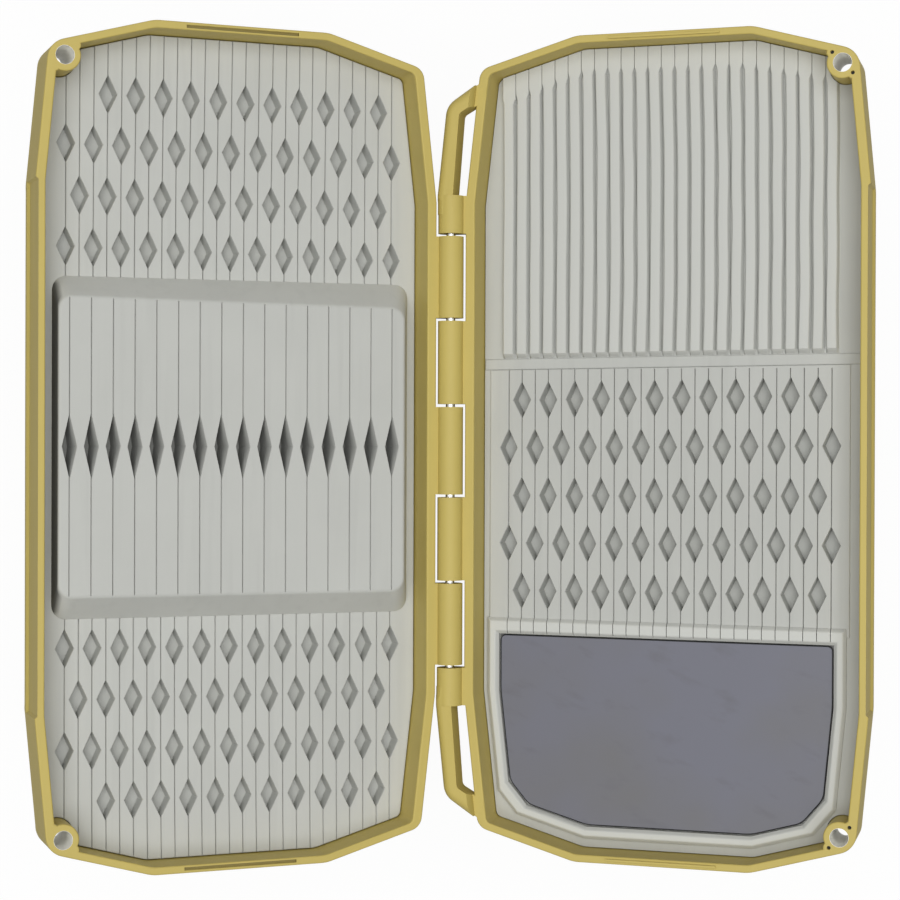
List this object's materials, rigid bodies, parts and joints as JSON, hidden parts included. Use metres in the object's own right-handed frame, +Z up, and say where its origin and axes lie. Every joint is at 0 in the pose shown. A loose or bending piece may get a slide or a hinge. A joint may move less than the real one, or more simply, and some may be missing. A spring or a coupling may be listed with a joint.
{
  "type": "fly box",
  "caption": "Slim hinged box for fishing flies, shown open: moulded khaki halves lined with slit foam, a ridged panel and a magnet sheet, with corner eyelets and lanyard loops.",
  "frame": {"origin": "middle of the box on the surface that it stands on, under the hinge", "axes": "+Y along the hinge towards the upper end, +X towards the base half, +Z up; the box stands open as a shallow V on the hinge-side edges of both backs"},
  "size_m": [0.1816, 0.18, 0.0406],
  "materials": {
    "shell_khaki": "moulded polypropylene, fine satin texture",
    "pin_steel": "drawn stainless wire",
    "magnet_nickel": "nickel-plated rod magnet",
    "foam_grey": "closed-cell EVA foam, matt, with moulded slits",
    "adhesive_clear": "clear double-sided adhesive film",
    "magnet_sheet_grey": "flexible magnetic sheet, smooth satin"
  },
  "bodies": {
    "base": {"base_shell": "shell_khaki", "hinge_pin": "pin_steel", "base_closure_magnets": "magnet_nickel", "ridged_foam_panel": "foam_grey", "ridged_panel_adhesive": "adhesive_clear", "foam_divider_strip": "foam_grey", "divider_adhesive": "adhesive_clear", "slit_foam_panel": "foam_grey", "slit_panel_adhesive": "adhesive_clear", "magnet_sheet": "magnet_sheet_grey", "magnet_sheet_adhesive": "adhesive_clear"},
    "lid": {"lid_shell": "shell_khaki", "lid_closure_magnets": "magnet_nickel", "lid_foam_sheet": "foam_grey", "lid_foam_adhesive": "adhesive_clear", "raised_foam_block": "foam_grey", "block_adhesive": "adhesive_clear"}
  },
  "joints": [
    {"name": "lid_hinge", "type": "hinge", "parent": "base", "child": "lid", "pos_m": [0, 0, 0.01272], "axis": [0, 1, 0], "range_deg": [-35.8, 144.2]}
  ]
}
